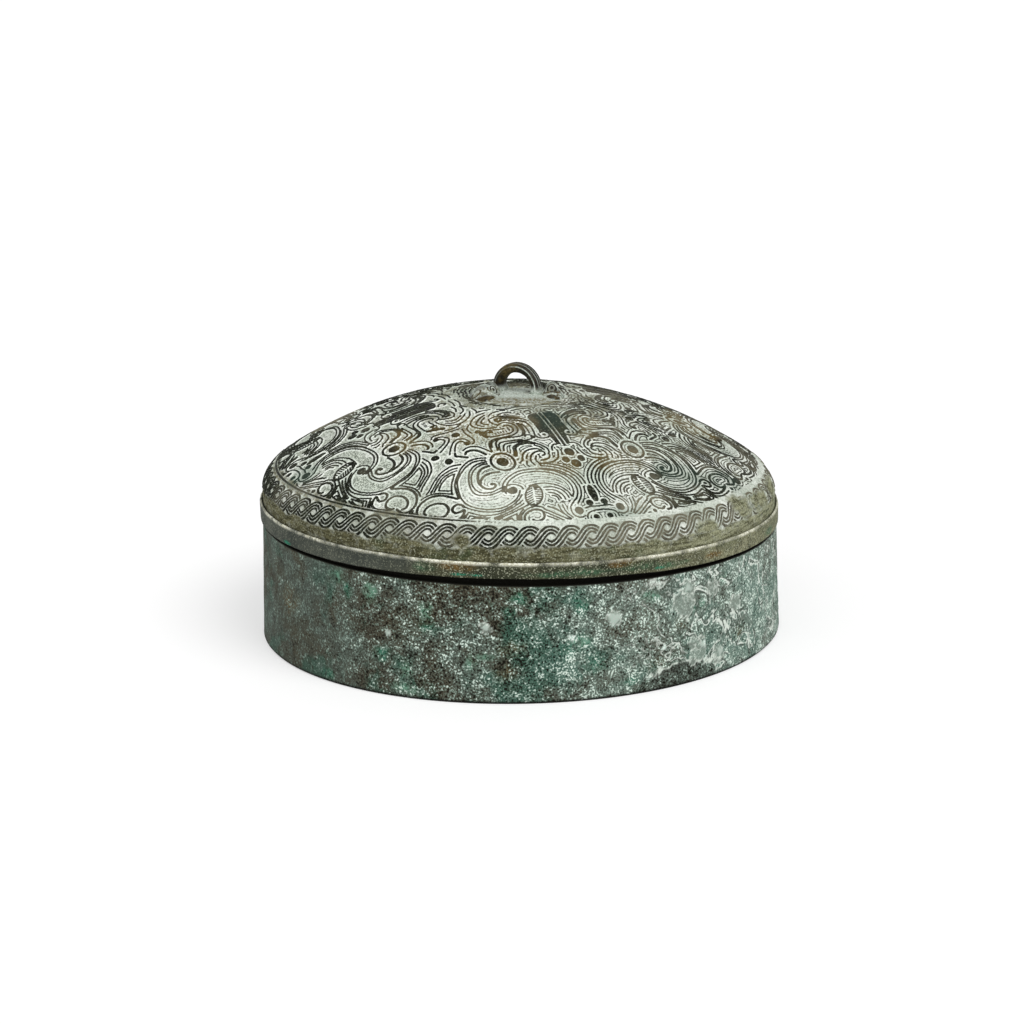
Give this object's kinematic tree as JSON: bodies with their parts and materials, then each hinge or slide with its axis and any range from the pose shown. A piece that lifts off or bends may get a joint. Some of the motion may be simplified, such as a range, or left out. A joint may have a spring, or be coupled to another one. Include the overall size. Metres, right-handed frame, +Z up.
{
  "type": "lidded bronze box",
  "caption": "Low round bronze box with a let-in floor and a lift-off domed lid, which has a rim hoop, a crown boss and a reeded loop handle between beast masks.",
  "frame": {"origin": "centre of the flat underside of the box, on the axis of the round wall", "axes": "+Z up along the box's axis; -Y is the front, facing the picture's camera; the loop handle spans along X, turned 20 degrees clockwise as seen from above"},
  "size_m": [0.18, 0.18, 0.0925],
  "materials": {
    "box_bronze": "corroded cast bronze with a grey-green crust and pale green specks",
    "rim_bronze": "corroded cast bronze, grey-brown with a worn pale edge",
    "lid_bronze": "cast bronze with worn dark relief lines over a pale grey-green filled ground",
    "handle_bronze": "cast bronze with dark brown wear and whitish deposits"
  },
  "bodies": {
    "box": {"box_wall": "box_bronze", "base_plate": "box_bronze"},
    "lid": {"rim_hoop": "rim_bronze", "lid_dome": "lid_bronze", "handle_boss": "handle_bronze", "loop_handle": "handle_bronze", "left_mask": "handle_bronze", "right_mask": "handle_bronze", "left_tenon_plug": "handle_bronze", "right_tenon_plug": "handle_bronze"}
  },
  "joints": [
    {"name": "lid_lift", "type": "slide", "parent": "box", "child": "lid", "axis": [0, 0, 1], "range_m": [0, 0.1]}
  ]
}
